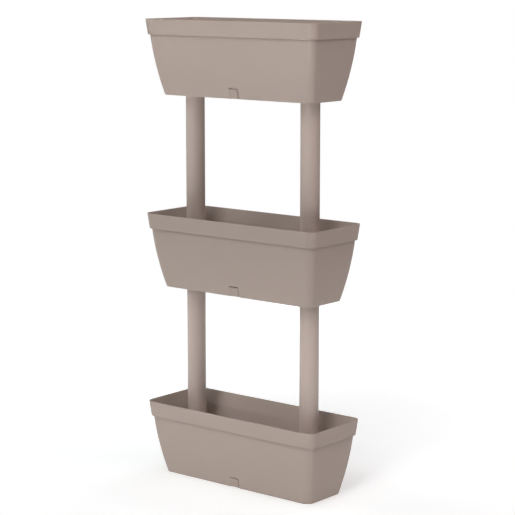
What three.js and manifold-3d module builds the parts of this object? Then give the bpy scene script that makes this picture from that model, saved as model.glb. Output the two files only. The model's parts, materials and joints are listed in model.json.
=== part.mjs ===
// Vertical planter tower: three like troughs, one above another, carried by two pairs of round tubes.
// Lengths are in millimetres. +X runs along the troughs, -Y is the front and +Z is up.
// The origin is on the ground, under the middle of the lowest trough.
import * as THREE from "three";
import { mergeVertices } from "three/addons/utils/BufferGeometryUtils.js";
import Module from "manifold-3d";

// Tower
const tierPitch = 452; // from one trough's foot to the foot of the next one up
const tubeFromEnd = 80; // from a trough's end to the axis of the tube nearest to it
const tierNames = ["lower", "middle", "upper"];
const sides = { left: -1, right: 1 };

// Trough, measured over its rim
const troughLength = 500;
const troughDepth = 188;
const troughHeight = 175;
const wall = 2.5;
const bandHeight = 36; // the upright band round the rim
const bandDraft = 4; // how far the band leans in on its way down, on each side
const bandStep = 5; // how far the body is set back under the band
const bodyTaper = 23; // how far the body leans in from the band to the foot, on each side
const bodyBulgeShare = 0.47; // share of that lean which gathers towards the foot
const rimCornerRadius = 19.5;
const bodyCornerRadius = 15; // just under the band
const footCornerRadius = 17.5;

// Trough floor, with the hollow and the ribs under it
const floorThickness = 3;
const ribThickness = 2;
const ribHeight = 5;
const ribClearance = 2; // between a rib and a fitting's flange
const crosswiseRibs = 4; // an even number, which leaves the drain hole clear

// Water notch in the middle of each long wall
const notchWidth = 31;
const notchHeight = 24;
const notchDepth = 6;
const notchLift = 1; // the gap left under the notch for water to run out

// Tubes
const tubeRadius = 22;
const tubeWall = 2;

// Fittings that hold a trough's floor on a tube
const flangeRadius = 31;
const flangeThickness = 4;
const flangeRise = 2.2; // from the foot's edge up to the flange under the floor
const spigotLength = 38; // how deep a fitting reaches into a tube
const spigotWall = 3;
const spigotLead = 1.5; // the taper at a spigot's free end
const webThickness = 4; // closes each fitting's bore against water
const threadRise = 3; // how far the threaded collar stands above its lock ring

// Lock ring and seal of each fitting
const ringHeight = 10;
const ringWall = 5;
const ringLugReach = 3.5;
const ringLugWidth = 9;
const ringLugs = 8;
const sealThickness = 1.2;
const sealRadius = 29;

// Drain plug in the middle of each floor
const plugRadius = 7;
const plugReach = 4; // below the floor
const plugTaper = 0.8;
const plugFlangeRadius = 12;
const plugFlangeThickness = 2.5;
const plugNeckRadius = 3;
const plugNeckHeight = 4;
const plugKnobRadius = 5.5;
const plugKnobHeight = 4;

// Clearances
const fitClearance = 0.3; // round a piece that slides into or through another
const seatGap = 0.3; // between faces that rest on each other
const cutOverrun = 10; // how far a cutter runs past what it cuts

// Smoothness of round shapes, in facets
const roundFacets = 24;
const cornerFacets = 6;
const bodyLevels = 7;

// Heights above a trough's foot, and radii, that follow from the sizes above
const tubeX = troughLength / 2 - tubeFromEnd;
const flangeTop = flangeRise + flangeThickness;
const sealBottom = flangeTop + seatGap;
const sealTop = sealBottom + sealThickness;
const floorRise = sealTop + seatGap;
const floorTop = floorRise + floorThickness;
const bandBottom = troughHeight - bandHeight;
const collarRadius = tubeRadius;
const collarTop = floorTop + seatGap + ringHeight + threadRise;
const spigotRadius = tubeRadius - tubeWall - fitClearance;
const boreRadius = spigotRadius - spigotWall;
const tubeBottom = collarTop + seatGap;
const tubeLength = tierPitch + flangeRise - seatGap - tubeBottom;

const wasm = await Module();
wasm.setup();

// Solids

function solidFrom(geometry) {
  const plain = new THREE.BufferGeometry();
  plain.setAttribute("position", geometry.getAttribute("position"));
  if (geometry.index) plain.setIndex(geometry.index);
  const merged = mergeVertices(plain);
  const vertProperties = new Float32Array(merged.attributes.position.array);
  const triVerts = new Uint32Array(merged.index.array);
  return new wasm.Manifold(new wasm.Mesh({ numProp: 3, vertProperties, triVerts }));
}

function geometryFrom(solid) {
  const mesh = solid.getMesh();
  const geometry = new THREE.BufferGeometry();
  geometry.setAttribute("position", new THREE.BufferAttribute(mesh.vertProperties, 3));
  geometry.setIndex(new THREE.BufferAttribute(mesh.triVerts, 1));
  return geometry;
}

// A box between two corners.
function block(low, high) {
  const size = high.map((value, axis) => value - low[axis]);
  const middle = high.map((value, axis) => (value + low[axis]) / 2);
  const geometry = new THREE.BoxGeometry(...size);
  geometry.translate(...middle);
  return solidFrom(geometry);
}

// A shape turned about the upright axis from [radius, height] points, listed up its outside.
function turned(profile) {
  const points = profile.map(([radius, height]) => new THREE.Vector2(radius, height));
  const geometry = new THREE.LatheGeometry(points, roundFacets);
  geometry.rotateX(Math.PI / 2);
  return geometry;
}

// A turned shape with a hole along its axis, so that its profile comes back to its first point.
function turnedRing(profile) {
  return turned([...profile, profile[0]]);
}

function disc(radius, bottom, top) {
  return turned([[0, bottom], [radius, bottom], [radius, top], [0, top]]);
}

// Trough

// One corner-rounded rectangle of the trough, counter-clockwise seen from above.
function outline({ inset, radius, height }) {
  const points = [];
  const halfLength = troughLength / 2 - inset;
  const halfDepth = troughDepth / 2 - inset;
  const quarters = [[1, 1], [-1, 1], [-1, -1], [1, -1]];
  quarters.forEach(([alongX, alongY], quarter) => {
    for (let step = 0; step <= cornerFacets; step++) {
      const angle = ((quarter + step / cornerFacets) * Math.PI) / 2;
      const x = alongX * (halfLength - radius) + radius * Math.cos(angle);
      const y = alongY * (halfDepth - radius) + radius * Math.sin(angle);
      points.push([x, y, height]);
    }
  });
  return points;
}

// A solid through a stack of outlines, lowest first.
function stacked(levels) {
  const rings = levels.map(outline);
  const count = rings[0].length;
  const positions = rings.flat(2);
  const indices = [];
  for (let level = 0; level + 1 < rings.length; level++) {
    for (let i = 0; i < count; i++) {
      const a = level * count + i;
      const b = level * count + ((i + 1) % count);
      indices.push(a, b, b + count, a, b + count, a + count);
    }
  }
  const top = (rings.length - 1) * count;
  for (let i = 1; i + 1 < count; i++) {
    indices.push(0, i + 1, i, top, top + i, top + i + 1);
  }
  const geometry = new THREE.BufferGeometry();
  geometry.setAttribute("position", new THREE.Float32BufferAttribute(positions, 3));
  geometry.setIndex(indices);
  return solidFrom(geometry);
}

// The outer surface at a height on the body, from the foot up to the band.
function bodyLevel(height, shrink) {
  const down = 1 - height / bandBottom;
  const lean = (1 - bodyBulgeShare) * down + bodyBulgeShare * down * down;
  return {
    inset: bandDraft + bandStep + bodyTaper * lean + shrink,
    radius: bodyCornerRadius + (footCornerRadius - bodyCornerRadius) * lean - shrink,
    height,
  };
}

function bodyStack(shrink, bottom, top) {
  const levels = [];
  for (let step = 0; step <= bodyLevels; step++) {
    levels.push(bodyLevel(bottom + ((top - bottom) * step) / bodyLevels, shrink));
  }
  return levels;
}

function bandLevel(height, shrink) {
  const down = (troughHeight - height) / bandHeight;
  return { inset: bandDraft * down + shrink, radius: rimCornerRadius - shrink, height };
}

function outerSolid() {
  return stacked([
    ...bodyStack(0, 0, bandBottom),
    bandLevel(bandBottom, 0),
    bandLevel(troughHeight, 0),
  ]);
}

// The planting space, with the ledge that the band makes inside.
function cavitySolid() {
  const ledge = bandBottom + wall;
  return stacked([
    ...bodyStack(wall, floorTop, ledge),
    bandLevel(ledge, wall),
    bandLevel(troughHeight + cutOverrun, wall),
  ]);
}

// A rib under the floor, between two corners seen from above.
function rib(low, high) {
  return block([...low, floorRise - ribHeight], [...high, floorTop]);
}

// The hollow under the floor, less the ribs that stiffen the floor between the fittings.
function hollowSolid() {
  let hollow = stacked([bodyLevel(-cutOverrun, wall), bodyLevel(0, wall), bodyLevel(floorRise, wall)]);
  const half = ribThickness / 2;
  const fromFitting = flangeRadius + ribClearance + half;
  for (const side of [-1, 1]) {
    const y = side * fromFitting;
    hollow = hollow.subtract(rib([-troughLength / 2, y - half], [troughLength / 2, y + half]));
  }
  const outermost = tubeX - fromFitting;
  for (let i = 0; i < crosswiseRibs; i++) {
    const x = outermost * ((2 * i) / (crosswiseRibs - 1) - 1);
    hollow = hollow.subtract(rib([x - half, -troughDepth / 2], [x + half, troughDepth / 2]));
  }
  return hollow;
}

// What a notch takes out of a long wall: grown by the wall's thickness, it is the bulge left inside.
function notchSolid(side, grown) {
  const reach = (side * troughDepth) / 2;
  const box = block(
    [-notchWidth / 2 - grown, Math.min(0, reach), -cutOverrun],
    [notchWidth / 2 + grown, Math.max(0, reach), notchHeight + grown],
  );
  return box.subtract(stacked(bodyStack(notchDepth + grown, -cutOverrun, bandBottom)));
}

function waterGap(side) {
  const reach = (side * troughDepth) / 2;
  return block(
    [-notchWidth / 2, Math.min(0, reach), -cutOverrun],
    [notchWidth / 2, Math.max(0, reach), notchLift],
  );
}

function troughGeometry() {
  let cavity = cavitySolid();
  let hollow = hollowSolid();
  for (const side of [-1, 1]) {
    const bulge = notchSolid(side, wall);
    cavity = cavity.subtract(bulge);
    hollow = hollow.subtract(bulge);
  }
  let trough = outerSolid().subtract(cavity).subtract(hollow);
  for (const side of [-1, 1]) {
    trough = trough.subtract(notchSolid(side, 0)).subtract(waterGap(side));
    const collarHole = disc(collarRadius + fitClearance, 0, floorTop + cutOverrun);
    collarHole.translate(side * tubeX, 0, 0);
    trough = trough.subtract(solidFrom(collarHole));
  }
  const drainHole = disc(plugRadius + fitClearance, 0, floorTop + cutOverrun);
  return geometryFrom(trough.subtract(solidFrom(drainHole)));
}

// Tube, from its lower end up

function tubeGeometry() {
  const inner = tubeRadius - tubeWall;
  return turnedRing([[inner, 0], [tubeRadius, 0], [tubeRadius, tubeLength], [inner, tubeLength]]);
}

// Fittings, with their heights above the trough's foot

// The outside of a spigot that points up from its root, and the bore inside it down to the web.
function upperSpigot(webTop) {
  const tip = collarTop + spigotLength;
  return [
    [spigotRadius, collarTop],
    [spigotRadius, tip - spigotLead],
    [spigotRadius - spigotLead, tip],
    [boreRadius, tip],
    [boreRadius, webTop],
    [0, webTop],
  ];
}

function lowerSpigot(webBottom) {
  const tip = flangeRise - spigotLength;
  return [
    [0, webBottom],
    [boreRadius, webBottom],
    [boreRadius, tip],
    [spigotRadius - spigotLead, tip],
    [spigotRadius, tip + spigotLead],
    [spigotRadius, flangeRise],
  ];
}

// The flange under the floor and the threaded collar that passes through it.
const flangeAndCollar = [
  [flangeRadius, flangeRise],
  [flangeRadius, flangeTop],
  [collarRadius, flangeTop],
  [collarRadius, collarTop],
];

const fittingProfiles = {
  lower: [[0, flangeRise], ...flangeAndCollar, ...upperSpigot(flangeRise + webThickness)],
  middle: [
    ...lowerSpigot(flangeRise),
    ...flangeAndCollar,
    ...upperSpigot(flangeRise + webThickness),
  ],
  upper: [...lowerSpigot(collarTop - webThickness), ...flangeAndCollar, [0, collarTop]],
};
const fittingNames = { lower: "base_spigot", middle: "coupler", upper: "top_spigot" };

// A nut with grip lugs round it, which clamps the floor on the flange.
function lockRingGeometry() {
  const inner = collarRadius + fitClearance;
  const root = inner + ringWall;
  const crest = root + ringLugReach;
  const corners = [[root, -1], [crest, -1], [crest, 1], [root, 1]];
  const points = [];
  for (let lug = 0; lug < ringLugs; lug++) {
    const middle = (lug * 2 * Math.PI) / ringLugs;
    for (const [radius, side] of corners) {
      const angle = middle + side * Math.asin(ringLugWidth / 2 / radius);
      points.push(new THREE.Vector2(radius * Math.cos(angle), radius * Math.sin(angle)));
    }
  }
  const shape = new THREE.Shape(points);
  const hole = new THREE.Path();
  hole.absarc(0, 0, inner, 0, 2 * Math.PI, true);
  shape.holes.push(hole);
  const curveSegments = roundFacets / 2;
  return new THREE.ExtrudeGeometry(shape, { depth: ringHeight, bevelEnabled: false, curveSegments });
}

function sealGeometry() {
  const hole = collarRadius + fitClearance;
  return turnedRing([[hole, sealBottom], [sealRadius, sealBottom], [sealRadius, sealTop], [hole, sealTop]]);
}

// Drain plug: a tapered stem through the floor, a flange on the floor and a knob to pull it by

function plugGeometry() {
  const flangeSeat = floorTop + seatGap;
  const flangeCrest = flangeSeat + plugFlangeThickness;
  const neckTop = flangeCrest + plugNeckHeight;
  return turned([
    [0, floorRise - plugReach],
    [plugRadius - plugTaper, floorRise - plugReach],
    [plugRadius, floorRise],
    [plugRadius, flangeSeat],
    [plugFlangeRadius, flangeSeat],
    [plugFlangeRadius, flangeCrest],
    [plugNeckRadius, flangeCrest],
    [plugNeckRadius, neckTop],
    [plugKnobRadius, neckTop],
    [plugKnobRadius, neckTop + plugKnobHeight],
    [0, neckTop + plugKnobHeight],
  ]);
}

// Materials

const taupe = 0xb0a199;
const darkTaupe = 0x9c8e86;
const troughPlastic = new THREE.MeshStandardMaterial({ color: taupe, roughness: 0.6, metalness: 0 });
const tubePlastic = new THREE.MeshStandardMaterial({ color: taupe, roughness: 0.4, metalness: 0 });
const fittingPlastic = new THREE.MeshStandardMaterial({ color: darkTaupe, roughness: 0.5, metalness: 0 });
const blackRubber = new THREE.MeshStandardMaterial({ color: 0x2b2a29, roughness: 0.8, metalness: 0 });

// Assembly

function place(group, name, geometry, material, x, height) {
  const mesh = new THREE.Mesh(geometry, material);
  mesh.name = name;
  mesh.position.set(x, 0, height);
  group.add(mesh);
}

const tower = new THREE.Group();
const trough = troughGeometry();
const tube = tubeGeometry();
const lockRing = lockRingGeometry();
const seal = sealGeometry();
const plug = plugGeometry();

tierNames.forEach((tier, level) => {
  const group = new THREE.Group();
  group.position.z = level * tierPitch;
  tower.add(group);
  place(group, `${tier}_trough`, trough, troughPlastic, 0, 0);
  place(group, `${tier}_drain_plug`, plug, blackRubber, 0, 0);
  const fitting = turned(fittingProfiles[tier]);
  const isTop = level === tierNames.length - 1;
  for (const [side, sign] of Object.entries(sides)) {
    const x = sign * tubeX;
    place(group, `${tier}_${side}_${fittingNames[tier]}`, fitting, fittingPlastic, x, 0);
    place(group, `${tier}_${side}_lock_ring`, lockRing, fittingPlastic, x, floorTop + seatGap);
    place(group, `${tier}_${side}_seal`, seal, blackRubber, x, 0);
    if (!isTop) place(group, `${tier}_${side}_tube`, tube, tubePlastic, x, tubeBottom);
  }
});

export default tower;
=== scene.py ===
# %% [markdown]
# # A planter tower: three troughs on four tubes
#
# This tower stands in a garden or on a balcony. Three like troughs of taupe plastic sit one above
# another, and two plain tubes carry each trough on the one below it. The construction is fixed: a
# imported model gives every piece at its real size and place. This script gives the pieces their fine
# surfaces, their finish and their light. All lengths are in metres.

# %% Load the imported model
import json
import math

import bpy
from mathutils import Matrix, Vector


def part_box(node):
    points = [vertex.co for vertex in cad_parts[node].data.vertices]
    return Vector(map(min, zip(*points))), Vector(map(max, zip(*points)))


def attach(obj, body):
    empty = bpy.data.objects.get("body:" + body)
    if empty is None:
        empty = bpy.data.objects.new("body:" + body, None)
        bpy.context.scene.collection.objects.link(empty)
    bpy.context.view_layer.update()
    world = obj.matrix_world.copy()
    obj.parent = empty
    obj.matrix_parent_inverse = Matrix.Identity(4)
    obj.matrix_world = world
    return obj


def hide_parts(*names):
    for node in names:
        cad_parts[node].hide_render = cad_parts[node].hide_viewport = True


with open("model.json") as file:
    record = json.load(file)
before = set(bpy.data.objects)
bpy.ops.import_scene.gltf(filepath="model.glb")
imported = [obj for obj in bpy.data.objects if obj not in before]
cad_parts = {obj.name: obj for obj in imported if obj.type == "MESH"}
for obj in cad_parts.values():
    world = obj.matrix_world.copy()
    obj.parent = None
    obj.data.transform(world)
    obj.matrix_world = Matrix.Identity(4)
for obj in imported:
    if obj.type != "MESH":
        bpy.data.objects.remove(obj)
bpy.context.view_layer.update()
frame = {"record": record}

# %% Names and units that every step shares
MM = 0.001
TIERS = ("lower", "middle", "upper")
SIDES = {"left": -1, "right": 1}
foot_heights = {tier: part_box(f"{tier}_trough")[0].z for tier in TIERS}
body_of = {
    node: body
    for body, nodes in frame["record"]["behaviour"]["bodies"].items()
    for node in nodes
}
print("feet at", foot_heights)

# %% [markdown]
# ## The camera
#
# The tower is seen from its front right, from a little above its top. Such pictures are often taken
# with a level camera and a shifted lens, which keeps upright edges parallel. A shift would push the
# tower out of the frame in every other view, so the camera is tilted down a little in its place.
# From four metres away the upright edges still look all but parallel.

# %% Make the camera
CAMERA_TURN = math.radians(39.466)
CAMERA_TILT = math.radians(9.436)
CAMERA_DISTANCE = 4.0355
CAMERA_SIDESTEP = 0.014
CAMERA_HEIGHT = 1.2058
CAMERA_LENS = 123.919

camera_data = bpy.data.cameras.new("camera")
camera_data.lens = CAMERA_LENS
camera = bpy.data.objects.new("camera", camera_data)
bpy.context.scene.collection.objects.link(camera)
away = Vector((math.sin(CAMERA_TURN), -math.cos(CAMERA_TURN), 0))
rightwards = Vector((math.cos(CAMERA_TURN), math.sin(CAMERA_TURN), 0))
camera.location = away * CAMERA_DISTANCE + rightwards * CAMERA_SIDESTEP
camera.location.z = CAMERA_HEIGHT
camera.rotation_euler = (math.pi / 2 - CAMERA_TILT, 0, CAMERA_TURN)
bpy.context.scene.camera = camera
print("camera at", camera.location)

# %% [markdown]
# ## Formulas as nodes
#
# Geometry Nodes can bend a flat grid into almost any moulded part, if each point's place is a
# formula. A formula drawn as Math nodes is long to wire by hand. This small class lets a node's
# output stand in an ordinary sum or product, and each operation adds one Math node to the tree.


# %% A node's output that can stand in a formula
class Field:
    """A node's output. Its arithmetic adds Math nodes to the tree that it belongs to."""

    def __init__(self, output):
        self.output = output
        self.tree = output.id_data

    def math(self, operation, *others):
        step = self.tree.nodes.new("ShaderNodeMath")
        step.operation = operation
        for socket, operand in zip(step.inputs, (self, *others)):
            feed(socket, operand)
        return Field(step.outputs[0])

    def __add__(self, other):
        return self.math("ADD", other)

    def __sub__(self, other):
        return self.math("SUBTRACT", other)

    def __mul__(self, other):
        return self.math("MULTIPLY", other)

    def __truediv__(self, other):
        return self.math("DIVIDE", other)


def feed(socket, operand):
    """Links a field to a socket, or sets the socket to a plain value."""
    if isinstance(operand, Field):
        operand.tree.links.new(operand.output, socket)
    else:
        socket.default_value = operand


# %% Add nodes by name
def named(sockets, name):
    """The socket in use that has this name: some nodes hold one for each type of data."""
    return next(socket for socket in sockets if socket.name == name and socket.enabled)


def add_node(tree, kind, result, feeds=None, **settings):
    """Adds a node, sets it up, feeds its inputs by name and returns the field of one output."""
    made = tree.nodes.new(kind)
    for name, value in settings.items():
        setattr(made, name, value)
    for name, operand in (feeds or {}).items():
        feed(named(made.inputs, name), operand)
    return Field(named(made.outputs, result))


def split(tree, vector):
    """The three parts of a vector field."""
    parts = tree.nodes.new("ShaderNodeSeparateXYZ")
    feed(parts.inputs["Vector"], vector)
    return [Field(output) for output in parts.outputs]


def named_number(tree, label):
    """The number that each point of a geometry carries under a name."""
    return add_node(tree, "GeometryNodeInputNamedAttribute", "Attribute", {"Name": label})


def sampled(tree, geometry, index, label=None):
    """The position, or a named number, of one point of another geometry."""
    if label:
        kind, value = "FLOAT", named_number(tree, label)
    else:
        kind, value = "FLOAT_VECTOR", add_node(tree, "GeometryNodeInputPosition", "Position")
    feeds = {"Geometry": geometry, "Value": value, "Index": index}
    return add_node(tree, "GeometryNodeSampleIndex", "Value", feeds, data_type=kind)


# %% [markdown]
# ## One tree form for every piece
#
# Every piece here is a section carried along a path: round a rectangle for a trough, round an axis
# for a tube. So both trees start alike, with a flat grid that has a column for each station of the
# path and a row for each point of the section. They end alike too: points that meet are merged,
# edges sharper than a limit stay sharp, and the piece gets its material.

# %% Start and end a tree
MERGE_DISTANCE = 0.01 * MM
SHARP_ANGLE = math.radians(38)


def new_tree(name, inputs):
    """A geometry node tree with named inputs. Returns the tree and the field of each input."""
    tree = bpy.data.node_groups.new(name, "GeometryNodeTree")
    for label, kind in (("Section", "Geometry"), *inputs, ("Material", "Material")):
        tree.interface.new_socket(label, in_out="INPUT", socket_type=f"NodeSocket{kind}")
    tree.interface.new_socket("Piece", in_out="OUTPUT", socket_type="NodeSocketGeometry")
    group = tree.nodes.new("NodeGroupInput")
    return tree, {output.name: Field(output) for output in group.outputs if output.name}


def point_count(tree, geometry):
    feeds = {"Geometry": geometry}
    return add_node(tree, "GeometryNodeAttributeDomainSize", "Point Count", feeds)


def start_grid(tree, section, stations):
    """A grid with its section and station indices: (grid, row, column)."""
    rows = point_count(tree, section)
    feeds = {"Vertices X": stations, "Vertices Y": rows}
    grid = add_node(tree, "GeometryNodeMeshGrid", "Mesh", feeds)
    index = add_node(tree, "GeometryNodeInputIndex", "Index")
    column = (index / rows).math("FLOOR")
    return grid, index - column * rows, column


def bent(tree, grid, x, y, z):
    """The grid with its points at their places, and the points that meet merged."""
    position = add_node(tree, "ShaderNodeCombineXYZ", "Vector", {"X": x, "Y": y, "Z": z})
    feeds = {"Geometry": grid, "Position": position}
    moved = add_node(tree, "GeometryNodeSetPosition", "Geometry", feeds)
    feeds = {"Geometry": moved, "Distance": MERGE_DISTANCE}
    return add_node(tree, "GeometryNodeMergeByDistance", "Geometry", feeds)


def end_tree(tree, geometry, material):
    """Shades the piece, gives it its material and links it to the tree's output."""
    angle = add_node(tree, "GeometryNodeInputMeshEdgeAngle", "Unsigned Angle")
    smooth = angle.math("LESS_THAN", SHARP_ANGLE)
    shaded = add_node(tree, "GeometryNodeSetShadeSmooth", "Geometry", {"Geometry": geometry})
    feeds = {"Geometry": shaded, "Shade Smooth": smooth}
    edged = add_node(tree, "GeometryNodeSetShadeSmooth", "Geometry", feeds, domain="EDGE")
    whole = add_node(tree, "GeometryNodeRealizeInstances", "Geometry", {"Geometry": edged})
    feeds = {"Geometry": whole, "Material": material}
    dressed = add_node(tree, "GeometryNodeSetMaterial", "Geometry", feeds)
    output = tree.nodes.new("NodeGroupOutput")
    feed(output.inputs["Piece"], dressed)


# %% Run a tree and set copies of its result in place
def grown(section, tree, **values):
    """Runs a tree on a section and returns the result as a plain mesh."""
    bpy.context.scene.collection.objects.link(section)
    modifier = section.modifiers.new("shape", "NODES")
    modifier.node_group = tree
    for item in tree.interface.items_tree:
        label = item.name.lower().replace(" ", "_")
        if label in values:
            modifier[item.identifier] = values[label]
    depsgraph = bpy.context.evaluated_depsgraph_get()
    mesh = bpy.data.meshes.new_from_object(section.evaluated_get(depsgraph))
    bpy.data.objects.remove(section)
    return mesh


def settle(mesh, node, offset):
    """A copy of a mesh at its place in the tower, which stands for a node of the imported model."""
    copy = mesh.copy()
    copy.transform(Matrix.Translation(offset))
    piece = bpy.data.objects.new(f"{node}_finished", copy)
    bpy.context.scene.collection.objects.link(piece)
    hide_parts(node)
    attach(piece, body_of[node])
    print(piece.name, len(copy.polygons), "faces")


# %% [markdown]
# ## Sections with soft corners
#
# A section is a line of points, and each corner may carry marks: named numbers that a tree reads. A
# moulded part has no knife edges, so a corner with a softness is swapped for a short curve. Smooth
# shading would spread that curve's slant over the whole flat face beside it, so each soft corner
# also gets a guard point on either side, which keeps the face flat.

# %% Soften corners and store points
SOFT_STEPS = 3
GUARD_REACH = 1.6
# The largest shares of the edge to the next corner that a curve and a guard may take.
SOFT_SHARE = 0.42
GUARD_SHARE = 0.5


def corner(point, softness=0.0, **marks):
    """One corner of a section. Its softness is how far its curve reaches along each edge."""
    return Vector(point), softness, marks


def softened(corners):
    """Turns corners into (point, marks) pairs along an open line."""
    line = []

    def add(point, marks):
        if not line or (point - line[-1][0]).length > MERGE_DISTANCE:
            line.append((point, marks))

    for index, (point, softness, marks) in enumerate(corners):
        if not softness:
            add(point, marks)
            continue
        arms = [corners[index - 1][0] - point, corners[index + 1][0] - point]
        guards = [arm * min(GUARD_REACH * softness / arm.length, GUARD_SHARE) for arm in arms]
        ends = [arm * min(softness / arm.length, SOFT_SHARE) for arm in arms]
        add(point + guards[0], marks)
        for step in range(SOFT_STEPS + 1):
            share = step / SOFT_STEPS
            add(point + ends[0] * (1 - share) ** 2 + ends[1] * share**2, marks)
        add(point + guards[1], marks)
    return line


def line_object(name, line, labels):
    """An object that holds only points in a line, with their marks as named attributes."""
    mesh = bpy.data.meshes.new(name)
    edges = [(i, i + 1) for i in range(len(line) - 1)]
    mesh.from_pydata([point for point, marks in line], edges, [])
    for label in labels:
        layer = mesh.attributes.new(label, "FLOAT", "POINT")
        layer.data.foreach_set("value", [marks.get(label, 0) for point, marks in line])
    print(name, len(line), "points")
    return bpy.data.objects.new(name, mesh)


# %% [markdown]
# ## Plastics
#
# The troughs are injection moulded and have the dull, finely grained surface of their mould. The
# tubes are drawn through a die, so they are smoother and carry very faint lines along their length.
# One function makes every finish, the rubber too: a colour that drifts a little, and a fine grain
# that changes the gloss and raises a slight bump. It reads Object coordinates, so that the grain
# has a real size.

# %% Make a plastic
GRAIN_SIZE = 0.6 * MM
GRAIN_DETAIL = 2
DRIFT_SIZE = 90 * MM
DRIFT_DETAIL = 3


def noise(material, size, stretch, detail):
    """A noise whose grains have a real size, stretched along Z by a factor."""
    nodes, links = material.node_tree.nodes, material.node_tree.links
    coordinates = nodes.new("ShaderNodeTexCoord")
    mapping = nodes.new("ShaderNodeMapping")
    mapping.inputs["Scale"].default_value = (1 / size, 1 / size, 1 / (size * stretch))
    texture = nodes.new("ShaderNodeTexNoise")
    texture.inputs["Scale"].default_value = 1
    texture.inputs["Detail"].default_value = detail
    links.new(coordinates.outputs["Object"], mapping.inputs["Vector"])
    links.new(mapping.outputs["Vector"], texture.inputs["Vector"])
    return texture.outputs["Fac"]


def plastic(name, colour, drift, roughness, bump, sheen=0.5, stretch=1):
    """A plastic whose colour drifts by a share and whose roughness runs between two values."""
    material = bpy.data.materials.new(name)
    material.use_nodes = True
    nodes, links = material.node_tree.nodes, material.node_tree.links
    shader = nodes["Principled BSDF"]
    shader.inputs["Specular IOR Level"].default_value = sheen
    grain = noise(material, GRAIN_SIZE, stretch, GRAIN_DETAIL)
    mottle = noise(material, DRIFT_SIZE, stretch, DRIFT_DETAIL)

    tint = nodes.new("ShaderNodeMix")
    tint.data_type = "RGBA"
    darker, lighter = named(tint.inputs, "A"), named(tint.inputs, "B")
    darker.default_value = [part * (1 - drift) for part in colour] + [1]
    lighter.default_value = [part * (1 + drift) for part in colour] + [1]
    links.new(mottle, named(tint.inputs, "Factor"))
    links.new(named(tint.outputs, "Result"), shader.inputs["Base Color"])

    gloss = nodes.new("ShaderNodeMapRange")
    gloss.inputs["To Min"].default_value, gloss.inputs["To Max"].default_value = roughness
    links.new(grain, gloss.inputs["Value"])
    links.new(gloss.outputs["Result"], shader.inputs["Roughness"])

    relief = nodes.new("ShaderNodeBump")
    relief.inputs["Strength"].default_value = bump
    relief.inputs["Distance"].default_value = GRAIN_SIZE
    links.new(grain, relief.inputs["Height"])
    links.new(relief.outputs["Normal"], shader.inputs["Normal"])
    return material


# %% The four finishes
TAUPE = (0.41, 0.337, 0.295)
PALE_TAUPE = (0.505, 0.415, 0.366)
DARK_TAUPE = (0.32, 0.258, 0.228)
BLACK = (0.022, 0.021, 0.02)
DRAWN_STRETCH = 60
finishes = {
    "trough_plastic": plastic(
        "grained_taupe_plastic", TAUPE, drift=0.02, roughness=(0.5, 0.62), bump=0.12, sheen=0.2
    ),
    "tube_plastic": plastic(
        "drawn_taupe_plastic",
        PALE_TAUPE,
        drift=0.02,
        roughness=(0.34, 0.44),
        bump=0.05,
        stretch=DRAWN_STRETCH,
    ),
    "fitting_plastic": plastic(
        "dark_taupe_plastic", DARK_TAUPE, drift=0.03, roughness=(0.42, 0.55), bump=0.1, sheen=0.3
    ),
    "black_rubber": plastic("black_rubber", BLACK, drift=0.1, roughness=(0.7, 0.85), bump=0.15),
}
print("finishes", list(finishes))

# %% [markdown]
# ## The troughs
#
# Each trough is one thin moulded shell: a rim band that leans in on its way down, a small step, a
# body that curves in to the foot, and a water pocket in the middle of each long wall. The band's
# lower edge is a short free skirt, and the narrow gap behind it darkens the step. Inside, one
# straight slope runs from the rim down to a soft bend, where the body's wall starts. A trough could
# be modelled by hand with loop cuts, or cut from blocks, but its shape follows a rule: at every
# height it is a rectangle with round corners. So each point of the section says how far the wall is
# set in, how round the corner is and how high it is, and the tree carries that section round the
# rectangle.

# %% Measure the trough
trough_low, trough_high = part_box("lower_trough")
LENGTH, DEPTH, HEIGHT = trough_high - trough_low
WALL = 2.5 * MM
BAND_HEIGHT = 36 * MM
BAND_DRAFT = 4 * MM
BAND_STEP = 5 * MM
BODY_TAPER = 23 * MM
BODY_BULGE_SHARE = 0.47
RIM_CORNER = 19.5 * MM
BODY_CORNER = 15 * MM
FOOT_CORNER = 17.5 * MM
FLOOR_RISE = 8 * MM
FLOOR_TOP = 11 * MM
BAND_BOTTOM = HEIGHT - BAND_HEIGHT
SKIRT_THICKNESS = 2.2 * MM
SKIRT_GAP_DEPTH = 4.5 * MM
INNER_BEND = BAND_BOTTOM + WALL
print("trough", LENGTH, DEPTH, HEIGHT)


# %% Levels of the trough, each as (inset, corner radius, height)
def on_band(height, shrink=0.0):
    """A level on the rim band, or set in from it by a distance."""
    down = (HEIGHT - height) / BAND_HEIGHT
    return BAND_DRAFT * down + shrink, RIM_CORNER - shrink, height


def on_body(height, shrink=0.0):
    """A level on the body, or set in from it by a distance."""
    down = 1 - height / BAND_BOTTOM
    # Part of the lean is straight, and part grows with the square, which curves the wall.
    lean = (1 - BODY_BULGE_SHARE) * down + BODY_BULGE_SHARE * down**2
    inset = BAND_DRAFT + BAND_STEP + BODY_TAPER * lean + shrink
    radius = BODY_CORNER + (FOOT_CORNER - BODY_CORNER) * lean - shrink
    return inset, radius, height


# %% [markdown]
# ### The water pocket
#
# The pocket is pressed in from outside, so the wall bulges inwards behind it. A tongue fills most
# of the pocket. It leaves a narrow groove above it and to its right, which reads as a thin dark
# line, and meets the wall in a soft ramp on its left. How deep a point is pressed is a product of
# two shares, one for its height and one for its place along the wall. Each share falls from 1 to 0
# over a lip, on an S-shaped curve. The tongue stands out from the pocket's back in the same way.

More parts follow.
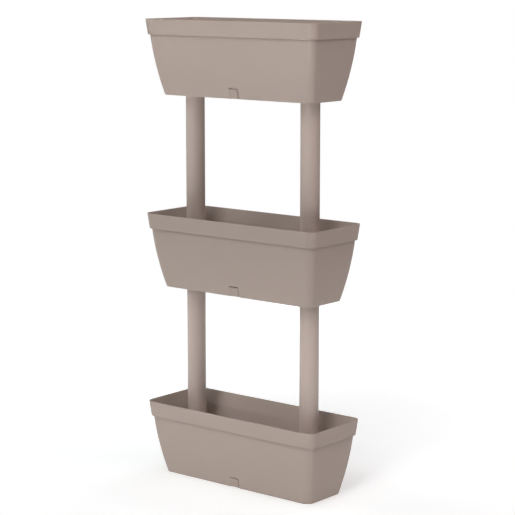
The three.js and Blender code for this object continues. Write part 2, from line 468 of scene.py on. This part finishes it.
# %% Size the pocket and its tongue, and shape their lips
# The edges are measured from the wall's middle and from the foot, at the middle of each lip. The
# pocket's lower edge is lifted a little, and the lift fades out over its reach above the foot.
POCKET_RIGHT = 15.5 * MM
POCKET_LEFT = 9.1 * MM
POCKET_HEIGHT = 24.5 * MM
POCKET_DEPTH = 5.5 * MM
POCKET_LIFT = 0.2 * MM
LIFT_REACH = 6 * MM
TONGUE_RISE = 3.5 * MM
GROOVE_ABOVE = 2.6 * MM
GROOVE_BESIDE = 3.5 * MM
CRISP_LIP = {"reach": 0.3 * MM, "steps": 4}
RAMP_LIP = {"reach": 3.9 * MM, "steps": 10}
BULGE_LIP = {"reach": 2 * MM, "steps": 8}
BULGE_WIDTH = 39 * MM
LEVEL_CLEARANCE = 0.6 * MM
BODY_LEVELS = 16
POCKET_MARKS = ("outside", "tongue", "inside")


def lip(edge, reach, steps):
    """(place, share) across a lip, from outside the pocket to inside it."""
    across = [step / steps for step in range(steps + 1)]
    return [(edge + reach * (1 - 2 * t), (1 - math.cos(math.pi * t)) / 2) for t in across]


def share_at(place, points):
    """The share at a place, on straight lines between the points of a lip."""
    for (outer, low), (inner, high) in zip(points, points[1:]):
        if inner <= place <= outer:
            return low + (high - low) * (outer - place) / (outer - inner)
    return 0 if place > points[0][0] else 1


def shares(place, lips):
    """The marks of a place: the share that each lip gives there, under the lip's name."""
    return {mark: share_at(place, points) for mark, points in lips.items()}


def wall_levels(low, high, **lips):
    """(height, marks) from one height up to another, with levels across each lip."""
    heights = {height for points in lips.values() for height, share in points}
    for step in range(1, BODY_LEVELS):
        height = low + (high - low) * step / BODY_LEVELS
        if all(abs(height - other) > LEVEL_CLEARANCE for other in heights):
            heights.add(height)
    return [(height, shares(height, lips)) for height in sorted(heights)]


# %% [markdown]
# ### The section
#
# The section starts at the middle of the floor's underside. It runs out and down to the foot, up
# the outside of the wall, over the rim and down the inside to the floor's middle. Most of its
# points are levels on the body's curve, with extra levels across each lip of the pocket.

# %% Draw the trough's section
UNDERSIDE_SOFTNESS = 1 * MM
INNER_FOOT_SOFTNESS = 0.6 * MM
OUTER_FOOT_SOFTNESS = 0.9 * MM
GAP_SOFTNESS = 0.5 * MM
SKIRT_SOFTNESS = 0.4 * MM
RIM_SOFTNESS = 0.9 * MM
INNER_BEND_SOFTNESS = 4 * MM
FLOOR_SOFTNESS = 3 * MM


def trough_section():
    """From the middle of the floor's underside, round the wall and down to the floor's middle."""
    middle = DEPTH / 2
    gap_top = BAND_BOTTOM + SKIRT_GAP_DEPTH
    pocket_lip = lip(POCKET_HEIGHT, **CRISP_LIP)
    tongue_lip = lip(POCKET_HEIGHT - GROOVE_ABOVE, **CRISP_LIP)
    bulge_lip = lip(POCKET_HEIGHT + WALL, **CRISP_LIP)
    outer = wall_levels(0, BAND_BOTTOM, outside=pocket_lip, tongue=tongue_lip)
    inner = wall_levels(FLOOR_TOP, INNER_BEND - INNER_BEND_SOFTNESS, inside=bulge_lip)
    line = [
        corner((middle, 0, FLOOR_RISE)),
        corner(on_body(FLOOR_RISE, WALL), UNDERSIDE_SOFTNESS, inside=1),
        corner(on_body(0, WALL), INNER_FOOT_SOFTNESS, inside=1),
        corner(on_body(0), OUTER_FOOT_SOFTNESS, outside=1, tongue=1),
        *(corner(on_body(height), **marks) for height, marks in outer),
        corner(on_body(gap_top), GAP_SOFTNESS),
        corner(on_band(gap_top, SKIRT_THICKNESS), GAP_SOFTNESS),
        corner(on_band(BAND_BOTTOM, SKIRT_THICKNESS), SKIRT_SOFTNESS),
        corner(on_band(BAND_BOTTOM), SKIRT_SOFTNESS),
        corner(on_band(HEIGHT), RIM_SOFTNESS),
        corner(on_band(HEIGHT, WALL), RIM_SOFTNESS),
        corner(on_body(INNER_BEND, WALL), INNER_BEND_SOFTNESS),
        *(corner(on_body(height, WALL), **marks) for height, marks in reversed(inner)),
        corner(on_body(FLOOR_TOP, WALL), FLOOR_SOFTNESS, inside=1),
        corner((middle, 0, FLOOR_TOP)),
    ]
    return line_object("trough_section", softened(line), POCKET_MARKS)


# %% [markdown]
# ### Stations round the rectangle
#
# The stations round the rectangle are a second line of points. Each one says which corner it turns
# about, its angle there and how far it is shifted along the wall. Every round corner has a guard
# station before and after it, and the long walls have stations across the lips of their pockets.

# %% List the stations round the trough
CORNER_STEPS = 14
CORNER_GUARD = 1.5 * MM
# The corners that a long wall follows: the right end's back one and the left end's front one.
WALL_CORNERS = (0, 2)


def pocket_stations():
    """(place along the wall, marks) across a pocket, from left to right."""
    ramp = lip(POCKET_LEFT, **RAMP_LIP)
    pocket_lip = lip(POCKET_RIGHT, **CRISP_LIP)
    tongue_lip = lip(POCKET_RIGHT - GROOVE_BESIDE, **CRISP_LIP)
    bulge = lip(BULGE_WIDTH / 2, **BULGE_LIP)
    left = {"outside": ramp, "tongue": ramp, "inside": bulge}
    right = {"outside": pocket_lip, "tongue": tongue_lip, "inside": bulge}
    # Both halves have the same places, so front and back stations meet on the floor's middle line.
    stations = []
    for along in {place for place, share in ramp + pocket_lip + tongue_lip + bulge}:
        stations += [(-along, shares(along, left)), (along, shares(along, right))]
    return sorted(stations, key=lambda station: station[0])


def guard(angle, reach):
    """A shift along the wall at a corner's end: ahead by the reach, or back where it is below 0."""
    return {"shift_x": -reach * math.sin(angle), "shift_y": reach * math.cos(angle)}


def trough_stations():
    """The stations, counter-clockwise from the right end's back corner."""
    line = []
    for quarter, (x, y) in enumerate(((1, 1), (-1, 1), (-1, -1), (1, -1))):
        start = quarter * math.pi / 2
        end = start + math.pi / 2
        line.append((Vector((x, y, start)), guard(start, -CORNER_GUARD)))
        for step in range(CORNER_STEPS + 1):
            line.append((Vector((x, y, start + step / CORNER_STEPS * math.pi / 2)), {}))
        line.append((Vector((x, y, end)), guard(end, CORNER_GUARD)))
        if quarter in WALL_CORNERS:
            for along, marks in pocket_stations():
                line.append((Vector((0, y, end)), {"shift_x": -y * along, **marks}))
    line.append(line[0])
    return line_object("trough_stations", line, ("shift_x", "shift_y", *POCKET_MARKS))


# %% [markdown]
# ### Floor ribs and holes
#
# Six thin ribs stiffen the floor from below, and three holes go through it. Both are simple solids
# placed on points, and each point carries the size of its solid.

# %% Place the ribs and the holes
RIB_THICKNESS = 2 * MM
RIB_HEIGHT = 5 * MM
RIB_CLEARANCE = 2 * MM
RIB_ROOT = 1 * MM
CROSSWISE_RIBS = 4
FLANGE_RADIUS = 31 * MM
COLLAR_RADIUS = 22 * MM
PLUG_RADIUS = 7 * MM
FIT = 0.3 * MM
DRILL_DEPTH = 3 * (FLOOR_TOP - FLOOR_RISE)
tube_x = sum(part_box("lower_right_tube"), Vector()).x / 2
print("tubes stand", tube_x, "from the middle")


def sized_points(name, entries):
    """Points that each carry a size along X, Y and Z."""
    line = [(Vector(at), dict(zip(("size_x", "size_y", "size_z"), size))) for at, size in entries]
    return line_object(name, line, ("size_x", "size_y", "size_z"))


def floor_ribs():
    """Two ribs along the floor and the crosswise ones, all of them clear of the flanges."""
    tall = RIB_HEIGHT + RIB_ROOT
    level = FLOOR_RISE - RIB_HEIGHT + tall / 2
    inset = on_body(level, WALL / 2)[0]
    from_fitting = FLANGE_RADIUS + RIB_CLEARANCE + RIB_THICKNESS / 2
    lengthwise = (LENGTH - 2 * inset, RIB_THICKNESS, tall)
    crosswise = (RIB_THICKNESS, DEPTH - 2 * inset, tall)
    entries = [((0, side * from_fitting, level), lengthwise) for side in (-1, 1)]
    for rib in range(CROSSWISE_RIBS):
        along = (tube_x - from_fitting) * (2 * rib / (CROSSWISE_RIBS - 1) - 1)
        entries.append(((along, 0, level), crosswise))
    return sized_points("floor_ribs", entries)


def floor_holes():
    """The holes for two fittings and a drain plug. Their sizes are (radius, radius, depth)."""
    level = (FLOOR_TOP + FLOOR_RISE) / 2
    collar, drain = COLLAR_RADIUS + FIT, PLUG_RADIUS + FIT
    entries = [((side * tube_x, 0, level), (collar, collar, DRILL_DEPTH)) for side in (-1, 1)]
    entries.append(((0, 0, level), (drain, drain, DRILL_DEPTH)))
    return sized_points("floor_holes", entries)


# %% [markdown]
# ### The trough's tree
#
# Each point of the grid looks up two others: its row picks a point of the section, and its column
# picks a station. The rest is arithmetic on what it finds there. A Curve to Mesh node would carry a
# section along a path too, but here each level has a corner radius of its own, and the pocket
# changes the section on its way. At the end a Mesh Boolean node joins the ribs to the shell, and
# another cuts the holes.

# %% Nodes for other objects, solids on points and booleans
def object_geometry(tree, item):
    return add_node(tree, "GeometryNodeObjectInfo", "Geometry", {"Object": item})


def solids_on_points(tree, points, solid):
    """One solid on each point, stretched to the size that the point carries."""
    feeds = {axis.upper(): named_number(tree, f"size_{axis}") for axis in "xyz"}
    size = add_node(tree, "ShaderNodeCombineXYZ", "Vector", feeds)
    feeds = {"Points": points, "Instance": solid, "Scale": size}
    return add_node(tree, "GeometryNodeInstanceOnPoints", "Instances", feeds)


def joined(tree, *parts):
    """Several geometries as one. The node's one socket takes a link from each."""
    join = tree.nodes.new("GeometryNodeJoinGeometry")
    for part in parts:
        feed(join.inputs["Geometry"], part)
    return Field(join.outputs["Geometry"])


def boolean(tree, operation, feeds):
    kind = "GeometryNodeMeshBoolean"
    return add_node(tree, kind, "Mesh", feeds, operation=operation, solver="MANIFOLD")


# %% Wire the trough's shell
def trough_shell(tree, given):
    """The section carried round the rectangle, with its pockets pressed in."""
    section = given["Section"]
    stations = object_geometry(tree, given["Stations"])
    grid, row, column = start_grid(tree, section, point_count(tree, stations))
    inset, radius, height = split(tree, sampled(tree, section, row))
    side_x, side_y, angle = split(tree, sampled(tree, stations, column))
    shift_x = sampled(tree, stations, column, "shift_x")
    shift_y = sampled(tree, stations, column, "shift_y")
    station_marks = {mark: sampled(tree, stations, column, mark) for mark in POCKET_MARKS}
    share = {mark: sampled(tree, section, row, mark) * station_marks[mark] for mark in POCKET_MARKS}

    # The round corner, and the station's shift along the wall. The floor's middle line, where the
    # radius is 0, has no corner and so no shift across.
    x = side_x * (given["Length"] / 2 - inset - radius) + radius * angle.math("COSINE") + shift_x
    y = side_y * (given["Depth"] / 2 - inset - radius) + radius * angle.math("SINE")
    y = y + shift_y * radius.math("GREATER_THAN", 0)

    # The pocket presses the wall in and lifts its lower edge. The tongue stands out of the pocket.
    pressed = given["Pocket Depth"] * (share["outside"] + share["inside"])
    pressed = pressed - given["Tongue Rise"] * share["tongue"]
    y = y - side_y * pressed
    near_foot = (height / given["Lift Reach"] * -1 + 1).math("MAXIMUM", 0)
    z = height + given["Pocket Lift"] * station_marks["outside"] * near_foot
    return bent(tree, grid, x, y, z)


# %% Wire the trough's tree
HOLE_FACETS = 96
TROUGH_INPUTS = (
    ("Stations", "Object"),
    ("Ribs", "Object"),
    ("Holes", "Object"),
    ("Length", "Float"),
    ("Depth", "Float"),
    ("Pocket Depth", "Float"),
    ("Tongue Rise", "Float"),
    ("Pocket Lift", "Float"),
    ("Lift Reach", "Float"),
)


def trough_tree():
    tree, given = new_tree("moulded_trough", TROUGH_INPUTS)
    shell = trough_shell(tree, given)

    cube = add_node(tree, "GeometryNodeMeshCube", "Mesh")
    ribs = solids_on_points(tree, object_geometry(tree, given["Ribs"]), cube)
    feeds = {"Vertices": HOLE_FACETS, "Radius": 1, "Depth": 1}
    drill = add_node(tree, "GeometryNodeMeshCylinder", "Mesh", feeds)
    drills = solids_on_points(tree, object_geometry(tree, given["Holes"]), drill)

    ribbed = boolean(tree, "UNION", {"Mesh": joined(tree, shell, ribs)})
    pierced = boolean(tree, "DIFFERENCE", {"Mesh 1": ribbed, "Mesh 2": drills})
    end_tree(tree, pierced, given["Material"])
    return tree


# %% Grow the trough and set it in each tier
trough_mesh = grown(
    trough_section(),
    trough_tree(),
    stations=trough_stations(),
    ribs=floor_ribs(),
    holes=floor_holes(),
    length=LENGTH,
    depth=DEPTH,
    pocket_depth=POCKET_DEPTH,
    tongue_rise=TONGUE_RISE,
    pocket_lift=POCKET_LIFT,
    lift_reach=LIFT_REACH,
    material=finishes["trough_plastic"],
)
for tier in TIERS:
    settle(trough_mesh, f"{tier}_trough", (0, 0, foot_heights[tier]))

# %% [markdown]
# ## Turned pieces
#
# The tubes, the fittings, their lock rings and seals, and the drain plugs are all turned shapes. A
# Screw modifier would spin a section too. A tree can do more on the way round: it raises the grip
# lugs of a lock ring and cuts the thread of a fitting's collar, each from a formula of the angle.

# %% Wire the turning tree
TURNED_INPUTS = (
    ("Facets", "Int"),
    ("Lugs", "Int"),
    ("Lug Reach", "Float"),
    ("Lug Edge", "Float"),
    ("Thread Pitch", "Float"),
    ("Thread Depth", "Float"),
)
LUG_FLANK = 0.12


def turned_tree():
    tree, given = new_tree("turned_piece", TURNED_INPUTS)
    section = given["Section"]
    grid, row, column = start_grid(tree, section, given["Facets"] + 1)
    radius, _, height = split(tree, sampled(tree, section, row))
    turn = column / given["Facets"]
    angle = turn * math.tau

    # Lugs stand where a cosine wave round the piece is above an edge.
    feeds = {
        "Value": (angle * given["Lugs"]).math("COSINE"),
        "From Min": given["Lug Edge"] - LUG_FLANK,
        "From Max": given["Lug Edge"] + LUG_FLANK,
    }
    kind = "ShaderNodeMapRange"
    raised = add_node(tree, kind, "Result", feeds, interpolation_type="SMOOTHSTEP")
    radius = radius + given["Lug Reach"] * raised * sampled(tree, section, row, "lug")

    # The thread's groove climbs one pitch in each turn.
    climb = height / given["Thread Pitch"] - turn
    groove = (climb * math.tau).math("COSINE") * -0.5 + 0.5
    radius = radius - given["Thread Depth"] * groove * sampled(tree, section, row, "thread")

    x, y = radius * angle.math("COSINE"), radius * angle.math("SINE")
    end_tree(tree, bent(tree, grid, x, y, height), given["Material"])
    return tree


# %% Sizes that the turned pieces share
TUBE_WALL = 2 * MM
FLANGE_RISE = 2.2 * MM
FLANGE_TOP = 6.2 * MM
RING_HEIGHT = 10 * MM
THREAD_RISE = 3 * MM
THREAD_PITCH = 1.5 * MM
THREAD_DEPTH = 0.5 * MM
EDGE = 0.5 * MM
SEAT = 0.3 * MM
ring_bottom = FLOOR_TOP + SEAT
collar_top = ring_bottom + RING_HEIGHT + THREAD_RISE
print("collars end at", collar_top)

# %% Turn a section
FACETS = 96
turned = turned_tree()


def around(radius, height, softness=0.0, **marks):
    """A corner of a turned section, at a distance from the axis."""
    return corner((radius, 0, height), softness, **marks)


def ring_corners(inner, outer, low, high, softness, **marks):
    """A closed ring's section, from its lower inner edge up its outside and back."""
    line = [around(inner, (low + high) / 2), around(inner, low, softness)]
    line += [around(outer, low, softness, **marks), around(outer, high, softness, **marks)]
    return [*line, around(inner, high, softness), around(inner, (low + high) / 2)]


def turn_piece(corners, slot, facets=FACETS, lugs=1, lug_reach=0.0, lug_edge=0.0):
    """A turned mesh from a section's corners, listed up its outside."""
    section = line_object("turned_section", softened(corners), ("lug", "thread"))
    return grown(
        section,
        turned,
        facets=facets,
        lugs=lugs,
        lug_reach=lug_reach,
        lug_edge=lug_edge,
        thread_pitch=THREAD_PITCH,
        thread_depth=THREAD_DEPTH,
        material=finishes[slot],
    )


# %% [markdown]
# ### Tubes
#
# Each tube is a plain drawn pipe that stands inside one trough and ends under the floor of the
# next. Its ends are cut square and lightly eased, as a saw and a file leave them.

# %% Turn the tubes
TUBE_EASE = 0.4 * MM
TUBE_FACETS = 128
for tier in TIERS[:-1]:
    for side in SIDES:
        node = f"{tier}_{side}_tube"
        low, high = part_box(node)
        tube_radius = (high.y - low.y) / 2
        inner = tube_radius - TUBE_WALL
        line = ring_corners(inner, tube_radius, 0, high.z - low.z, TUBE_EASE)
        mesh = turn_piece(line, "tube_plastic", facets=TUBE_FACETS)
        settle(mesh, node, ((low.x + high.x) / 2, 0, low.z))

# %% [markdown]
# ### Fittings
#
# A fitting holds a trough's floor on a tube. It has a flange under the floor, a threaded collar
# through it, and a spigot that plugs into the tube: upwards in the lowest trough, both ways in the
# middle one and downwards in the top one. A web closes its bore, so that no water runs down the
# tubes.

# %% Draw the parts of a fitting
SPIGOT_LENGTH = 38 * MM
SPIGOT_WALL = 3 * MM
SPIGOT_LEAD = 1.5 * MM
SPIGOT_RADIUS = COLLAR_RADIUS - TUBE_WALL - FIT
BORE_RADIUS = SPIGOT_RADIUS - SPIGOT_WALL
BORE_SOFTNESS = 1 * MM
WEB = 4 * MM
THREAD_LEVELS = 24
THREAD_FADE_LEVELS = 3


def spigot_below(web):
    """From the axis under the web, down the bore, round the tip and up to the flange."""
    tip = FLANGE_RISE - SPIGOT_LENGTH
    return [
        around(0, web),
        around(BORE_RADIUS, web, BORE_SOFTNESS),
        around(BORE_RADIUS, tip, EDGE),
        around(SPIGOT_RADIUS - SPIGOT_LEAD, tip, EDGE),
        around(SPIGOT_RADIUS, tip + SPIGOT_LEAD, EDGE),
        around(SPIGOT_RADIUS, FLANGE_RISE, EDGE),
    ]


def flange_and_collar():
    """Round the flange and up the collar. The thread starts shallow and is soon at full depth."""
    line = [around(FLANGE_RADIUS, FLANGE_RISE, EDGE), around(FLANGE_RADIUS, FLANGE_TOP, EDGE)]
    line += [around(COLLAR_RADIUS, FLANGE_TOP, EDGE)]
    low, high = collar_top - THREAD_RISE - THREAD_PITCH, collar_top - THREAD_DEPTH
    for step in range(THREAD_LEVELS):
        height = low + (high - low) * step / (THREAD_LEVELS - 1)
        line.append(around(COLLAR_RADIUS, height, thread=min(1, step / THREAD_FADE_LEVELS)))
    return [*line, around(COLLAR_RADIUS - THREAD_DEPTH, collar_top)]


def spigot_above(web):
    """From the collar up to the tip, down the bore and in to the axis on the web."""
    tip = collar_top + SPIGOT_LENGTH
    return [
        around(SPIGOT_RADIUS, collar_top, EDGE),
        around(SPIGOT_RADIUS, tip - SPIGOT_LEAD, EDGE),
        around(SPIGOT_RADIUS - SPIGOT_LEAD, tip, EDGE),
        around(BORE_RADIUS, tip, EDGE),
        around(BORE_RADIUS, web, BORE_SOFTNESS),
        around(0, web),
    ]


# %% Turn the fittings
FITTING_NAMES = {"lower": "base_spigot", "middle": "coupler", "upper": "top_spigot"}
fitting_ends = {
    "lower": ([around(0, FLANGE_RISE)], spigot_above(FLANGE_RISE + WEB)),
    "middle": (spigot_below(FLANGE_RISE), spigot_above(FLANGE_RISE + WEB)),
    "upper": (spigot_below(collar_top - WEB), [around(0, collar_top)]),
}
for tier, (below, above) in fitting_ends.items():
    mesh = turn_piece([*below, *flange_and_collar(), *above], "fitting_plastic")
    for side, direction in SIDES.items():
        node = f"{tier}_{side}_{FITTING_NAMES[tier]}"
        settle(mesh, node, (direction * tube_x, 0, foot_heights[tier]))

# %% [markdown]
# ### Lock rings and seals
#
# A lock ring is a nut with grip lugs. It clamps the floor down on the fitting's flange, with a thin
# rubber seal between the two.

# %% Turn the lock rings and the seals
RING_WALL = 5 * MM
RING_SOFTNESS = 0.9 * MM
LUG_REACH = 3.5 * MM
LUG_WIDTH = 9 * MM
LUG_FACETS = 24
LUGS = 8
SEAL_THICKNESS = 1.2 * MM
SEAL_RADIUS = 29 * MM
SEAL_SOFTNESS = 0.3 * MM
ring_inner = COLLAR_RADIUS + FIT
ring_root = ring_inner + RING_WALL
ring_top = ring_bottom + RING_HEIGHT
lug_angle = math.asin(LUG_WIDTH / 2 / (ring_root + LUG_REACH / 2))
ring_line = ring_corners(ring_inner, ring_root, ring_bottom, ring_top, RING_SOFTNESS, lug=1)
ring_mesh = turn_piece(
    ring_line,
    "fitting_plastic",
    facets=LUGS * LUG_FACETS,
    lugs=LUGS,
    lug_reach=LUG_REACH,
    lug_edge=math.cos(LUGS * lug_angle),
)
seal_bottom = FLANGE_TOP + SEAT
seal_top = seal_bottom + SEAL_THICKNESS
seal_line = ring_corners(ring_inner, SEAL_RADIUS, seal_bottom, seal_top, SEAL_SOFTNESS)
seal_mesh = turn_piece(seal_line, "black_rubber")
for tier in TIERS:
    for side, direction in SIDES.items():
        offset = (direction * tube_x, 0, foot_heights[tier])
        settle(ring_mesh, f"{tier}_{side}_lock_ring", offset)
        settle(seal_mesh, f"{tier}_{side}_seal", offset)

# %% [markdown]
# ### Drain plugs
#
# A rubber plug closes the drain in the middle of each floor. Its stem tapers through the hole, a
# flange lies on the floor, and a knob on a thin neck is there to pull it by.

# %% Turn the drain plugs
PLUG_FACETS = 64
PLUG_REACH = 4 * MM
PLUG_TAPER = 0.8 * MM
PLUG_FLANGE_RADIUS = 12 * MM
PLUG_FLANGE_THICKNESS = 2.5 * MM
PLUG_NECK_RADIUS = 3 * MM
PLUG_NECK_HEIGHT = 4 * MM
PLUG_KNOB_RADIUS = 5.5 * MM
PLUG_KNOB_HEIGHT = 4 * MM
PLUG_SOFTNESS = 0.8 * MM
PLUG_NECK_SOFTNESS = 1.2 * MM
PLUG_GRIP_SOFTNESS = 1 * MM
PLUG_DOME_SOFTNESS = 1.6 * MM
plug_bottom = FLOOR_RISE - PLUG_REACH
plug_seat = FLOOR_TOP + SEAT
plug_flange_top = plug_seat + PLUG_FLANGE_THICKNESS
plug_neck_top = plug_flange_top + PLUG_NECK_HEIGHT
plug_top = plug_neck_top + PLUG_KNOB_HEIGHT
plug_line = [
    around(0, plug_bottom),
    around(PLUG_RADIUS - PLUG_TAPER, plug_bottom, PLUG_SOFTNESS),
    around(PLUG_RADIUS, FLOOR_RISE),
    around(PLUG_RADIUS, plug_seat),
    around(PLUG_FLANGE_RADIUS, plug_seat, PLUG_SOFTNESS),
    around(PLUG_FLANGE_RADIUS, plug_flange_top, PLUG_SOFTNESS),
    around(PLUG_NECK_RADIUS, plug_flange_top, PLUG_NECK_SOFTNESS),
    around(PLUG_NECK_RADIUS, plug_neck_top, PLUG_SOFTNESS),
    around(PLUG_KNOB_RADIUS, plug_neck_top, PLUG_GRIP_SOFTNESS),
    around(PLUG_KNOB_RADIUS, plug_top, PLUG_DOME_SOFTNESS),
    around(0, plug_top),
]
plug_mesh = turn_piece(plug_line, "black_rubber", facets=PLUG_FACETS)
for tier in TIERS:
    settle(plug_mesh, f"{tier}_drain_plug", (0, 0, foot_heights[tier]))

# %% [markdown]
# ## Floor
#
# The tower stands on a plain white floor that has no horizon. A real studio rolls its floor up into
# the back wall. Here the floor is a disc that turns clear towards its rim, so it melts into the
# white round it from any side. It also glows, a little at the foot and more towards its rim, as a
# lit glass table does. That keeps it white under lamps that are right for the tower, and leaves
# only a faint shadow at the foot.

# %% Lay the floor
FLOOR_RADIUS = 2.6
FLOOR_FACETS = 64
FLOOR_WHITE = (0.905, 0.93, 0.935, 1)
FULL_WHITE = (1, 1, 1, 1)
GLOW_AT_FOOT, GLOW_AT_RIM = 0.31, 0.8
GLOW_CHANGE = (0.4, 2.3)
EDGE_FADE = (2.0, FLOOR_RADIUS)

floor_mesh = bpy.data.meshes.new("floor")
rim_turns = [step / FLOOR_FACETS * math.tau for step in range(FLOOR_FACETS)]
rim = [(FLOOR_RADIUS * math.cos(turn), FLOOR_RADIUS * math.sin(turn), 0) for turn in rim_turns]
floor_mesh.from_pydata(rim, [], [range(FLOOR_FACETS)])
floor = bpy.data.objects.new("floor", floor_mesh)
bpy.context.scene.collection.objects.link(floor)

floor_finish = bpy.data.materials.new("white_floor")
floor_finish.use_nodes = True
floor_nodes, floor_links = floor_finish.node_tree.nodes, floor_finish.node_tree.links
floor_shader = floor_nodes["Principled BSDF"]
floor_shader.inputs["Base Color"].default_value = FLOOR_WHITE
floor_shader.inputs["Specular IOR Level"].default_value = 0
floor_shader.inputs["Emission Color"].default_value = FULL_WHITE
coordinates = floor_nodes.new("ShaderNodeTexCoord")
from_middle = floor_nodes.new("ShaderNodeVectorMath")
from_middle.operation = "LENGTH"
floor_links.new(coordinates.outputs["Object"], from_middle.inputs[0])


def change_outwards(socket, distances, values):
    """Lets a floor value change smoothly between two distances from the tower."""
    change = floor_nodes.new("ShaderNodeMapRange")
    change.interpolation_type = "SMOOTHSTEP"
    for name, value in zip(("From Min", "From Max", "To Min", "To Max"), (*distances, *values)):
        named(change.inputs, name).default_value = value
    floor_links.new(from_middle.outputs["Value"], change.inputs["Value"])
    floor_links.new(change.outputs["Result"], floor_shader.inputs[socket])


change_outwards("Emission Strength", GLOW_CHANGE, (GLOW_AT_FOOT, GLOW_AT_RIM))
change_outwards("Alpha", EDGE_FADE, (1, 0))
floor_mesh.materials.append(floor_finish)

# %% [markdown]
# ## Lamps and surround
#
# Each lamp is a soft box at a turn round the tower, a rise above the height that it aims at and a
# distance. The turn is 0 at the front and grows to the right. The key lamp is a little right of the
# front and fairly high, so the long walls are lit evenly and the tubes throw soft shadows on the
# walls behind them. A weak lamp low in front lightens the lower part of the front, which leans away
# from the high key lamp. Lamps on the left, right, back and top keep every side readable, and the
# right one is a little warm. Two narrow strip lamps make the top and bottom troughs a little
# brighter than the middle one. The world is white only where it is looked at, and gives no light
# itself.

# %% Hang the lamps
MID_TOWER = 0.55
SOFT_BOX_SIZE = (1.6, 1.6)
STRIP_SIZE = (1.4, 0.12)
FAR = 3.0
NEAR = 1.8
PLAIN_WHITE = (1, 1, 1)
WARM_WHITE = (1, 0.87, 0.87)


def lamp(
    name,
    turn,
    rise,
    power,
    distance=FAR,
    aim=MID_TOWER,
    size=SOFT_BOX_SIZE,
    spread=180,
    colour=PLAIN_WHITE,
):
    """An area lamp turned towards a height on the tower's axis. Its angles are in degrees."""
    data = bpy.data.lights.new(name, "AREA")
    data.shape = "RECTANGLE"
    data.size, data.size_y = size
    data.spread = math.radians(spread)
    data.energy = power
    data.color = colour
    turn, rise = math.radians(turn), math.radians(rise)
    level = math.cos(rise)
    towards = Vector((math.sin(turn) * level, -math.cos(turn) * level, math.sin(rise)))
    made = bpy.data.objects.new(name, data)
    bpy.context.scene.collection.objects.link(made)
    made.location = Vector((0, 0, aim)) + towards * distance
    made.rotation_euler = towards.to_track_quat("Z", "Y").to_euler()
    print(name, "at", made.location)


lamp("key_lamp", turn=16, rise=44, power=29.5)
lamp("low_front_lamp", turn=6, rise=-2, power=8)
lamp("left_lamp", turn=-70, rise=20, power=28.5)
lamp("right_lamp", turn=95, rise=45, power=24.8, colour=WARM_WHITE)
lamp("back_lamp", turn=180, rise=30, power=22.5)
lamp("top_lamp", turn=0, rise=89, power=14, distance=2.2)
as_strip = {"distance": NEAR, "size": STRIP_SIZE}
lamp("upper_strip_lamp", turn=16, rise=0, power=0.6, aim=1.06, spread=34, **as_strip)
lamp("lower_strip_lamp", turn=16, rise=28, power=0.45, aim=0.2, spread=26, **as_strip)

# %% Make the surround white to the camera alone
surround = bpy.data.worlds.new("white_surround")
surround.use_nodes = True
background = surround.node_tree.nodes["Background"]
background.inputs["Color"].default_value = FULL_WHITE
looked_at = surround.node_tree.nodes.new("ShaderNodeLightPath")
surround.node_tree.links.new(looked_at.outputs["Is Camera Ray"], background.inputs["Strength"])
bpy.context.scene.world = surround
bpy.context.scene.view_settings.view_transform = "Standard"
